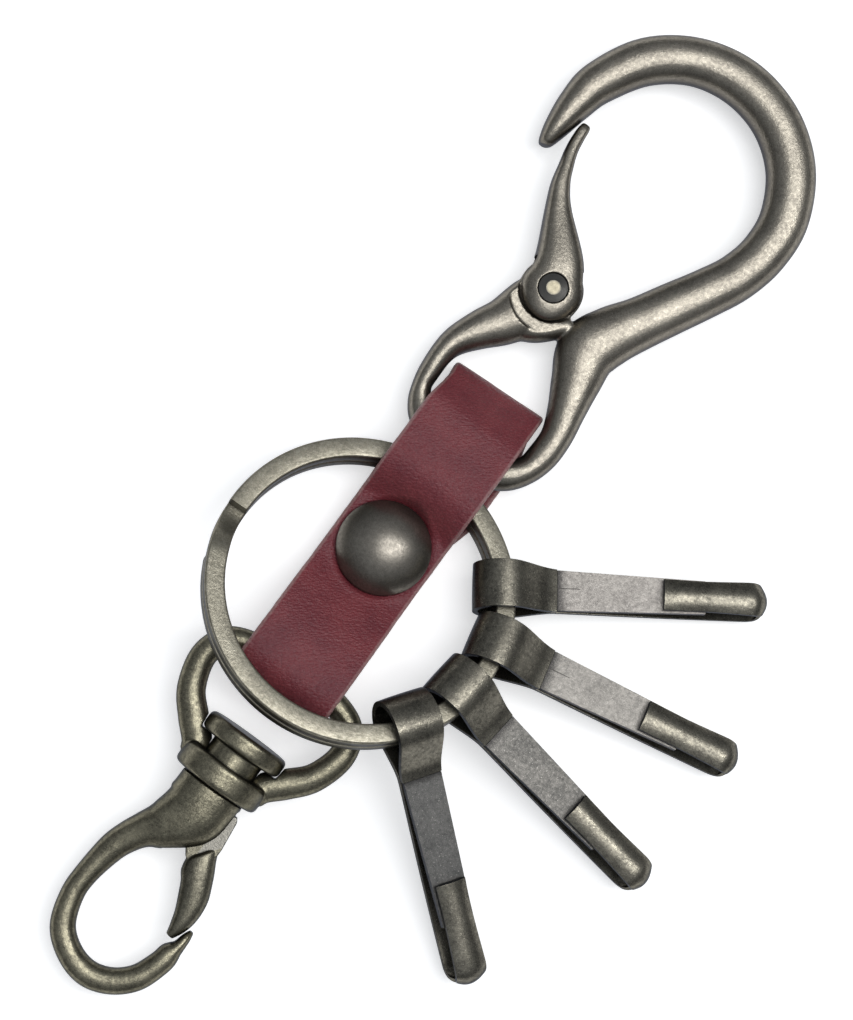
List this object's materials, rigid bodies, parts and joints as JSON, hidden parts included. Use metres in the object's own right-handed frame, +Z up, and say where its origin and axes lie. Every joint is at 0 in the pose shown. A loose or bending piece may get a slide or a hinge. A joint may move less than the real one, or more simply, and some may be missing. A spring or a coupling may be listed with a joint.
{
  "type": "key holder carabiner",
  "caption": "Leather strap key holder: large hook with a sprung lever, split ring carrying bent-strip key clips, and a small swivel snap with its own gate.",
  "frame": {"origin": "on the rivet's axis, on the back face of its base, which is the face that the holder lies on", "axes": "+X across the strap, +Y along the strap towards the large hook, +Z up out of the front, through the rivet's dome"},
  "size_m": [0.0635, 0.1296, 0.0147],
  "materials": {
    "leather": "grained, burnished edges",
    "aged_brass": "antique, rubbed bright on the ridges",
    "dark_brass": "antique, darkened",
    "bright_brass": "antique, worn matt",
    "spring_steel": "plain wire"
  },
  "bodies": {
    "strap": {"strap": "leather", "rivet_cap": "aged_brass", "rivet_post": "dark_brass"},
    "hook": {"hook_body": "aged_brass", "hook_pivot_pin": "bright_brass", "hook_spring": "spring_steel"},
    "lever": {"hook_lever": "aged_brass"},
    "ring": {"split_ring": "aged_brass"},
    "clip_1": {"clip_1": "dark_brass"},
    "clip_1_leaf": {"clip_1_gate": "bright_brass"},
    "clip_2": {"clip_2": "dark_brass"},
    "clip_2_leaf": {"clip_2_gate": "bright_brass"},
    "clip_3": {"clip_3": "dark_brass"},
    "clip_3_leaf": {"clip_3_gate": "bright_brass"},
    "clip_4": {"clip_4": "dark_brass"},
    "clip_4_leaf": {"clip_4_gate": "bright_brass"},
    "eye": {"swivel_eye": "aged_brass"},
    "snap": {"snap_body": "aged_brass", "snap_pin": "bright_brass", "snap_spring": "spring_steel"},
    "gate": {"snap_gate": "dark_brass"}
  },
  "joints": [
    {"name": "hook_swing", "type": "hinge", "parent": "strap", "child": "hook", "pos_m": [0, 0.0142, 0.00395], "axis": [1, 0, 0], "range_deg": [-5, 28]},
    {"name": "lever_pivot", "type": "hinge", "parent": "hook", "child": "lever", "pos_m": [-0.00189, 0.035, 0.00395], "axis": [0, 0, -1], "range_deg": [0, 48], "stiffness_Nm_per_rad": 0.02, "springref_deg": -20.05, "deforming": ["hook_spring"]},
    {"name": "ring_swing", "type": "hinge", "parent": "strap", "child": "ring", "pos_m": [0, 0.01005, 0.00371], "axis": [-1, 0, 0], "range_deg": [0, 10]},
    {"name": "clip_1_swing", "type": "hinge", "parent": "ring", "child": "clip_1", "pos_m": [0.01345, 0.0042, 0.00525], "axis": [-0.632, 0.7494, -0.1973], "range_deg": [-25, 60]},
    {"name": "clip_1_gate", "type": "hinge", "parent": "clip_1", "child": "clip_1_leaf", "pos_m": [0.01853, 0.00759, 0.00513], "axis": [-0.5509, 0.8185, -0.1628], "range_deg": [0, 5.5], "stiffness_Nm_per_rad": 0.02, "springref_deg": -17.19},
    {"name": "clip_2_swing", "type": "hinge", "parent": "ring", "child": "clip_2", "pos_m": [0.01654, -0.00158, 0.00677], "axis": [-0.2689, 0.9314, -0.2452], "range_deg": [-25, 60]},
    {"name": "clip_2_gate", "type": "hinge", "parent": "clip_2", "child": "clip_2_leaf", "pos_m": [0.02273, -0.00039, 0.00637], "axis": [-0.1982, 0.9571, -0.2115], "range_deg": [0, 5.5], "stiffness_Nm_per_rad": 0.02, "springref_deg": -17.19},
    {"name": "clip_3_swing", "type": "hinge", "parent": "ring", "child": "clip_3", "pos_m": [0.01694, -0.0084, 0.00857], "axis": [0.1599, 0.9546, -0.2513], "range_deg": [-25, 60]},
    {"name": "clip_3_gate", "type": "hinge", "parent": "clip_3", "child": "clip_3_leaf", "pos_m": [0.02216, -0.00918, 0.008], "axis": [0.121, 0.968, -0.2199], "range_deg": [0, 5.5], "stiffness_Nm_per_rad": 0.02, "springref_deg": -17.19},
    {"name": "clip_4_swing", "type": "hinge", "parent": "ring", "child": "clip_4", "pos_m": [0.01411, -0.01507, 0.01033], "axis": [0.5793, 0.7883, -0.2075], "range_deg": [-25, 60]},
    {"name": "clip_4_gate", "type": "hinge", "parent": "clip_4", "child": "clip_4_leaf", "pos_m": [0.01819, -0.01835, 0.00941], "axis": [0.5559, 0.7758, -0.2986], "range_deg": [0, 5.5], "stiffness_Nm_per_rad": 0.02, "springref_deg": -17.19},
    {"name": "eye_swing", "type": "hinge", "parent": "strap", "child": "eye", "pos_m": [0, -0.0172, 0.00633], "axis": [-1, 0, 0], "range_deg": [-4, 12]},
    {"name": "snap_swivel", "type": "hinge", "parent": "eye", "child": "snap", "pos_m": [0.0004, -0.03117, 0.00535], "axis": [0, 0.9976, 0.0698], "continuous": true},
    {"name": "snap_gate_pivot", "type": "hinge", "parent": "snap", "child": "gate", "pos_m": [0.001, -0.03581, 0.00503], "axis": [0, 0.0698, -0.9976], "range_deg": [0, 16], "stiffness_Nm_per_rad": 0.01, "springref_deg": -17.19, "deforming": ["snap_spring"]}
  ]
}
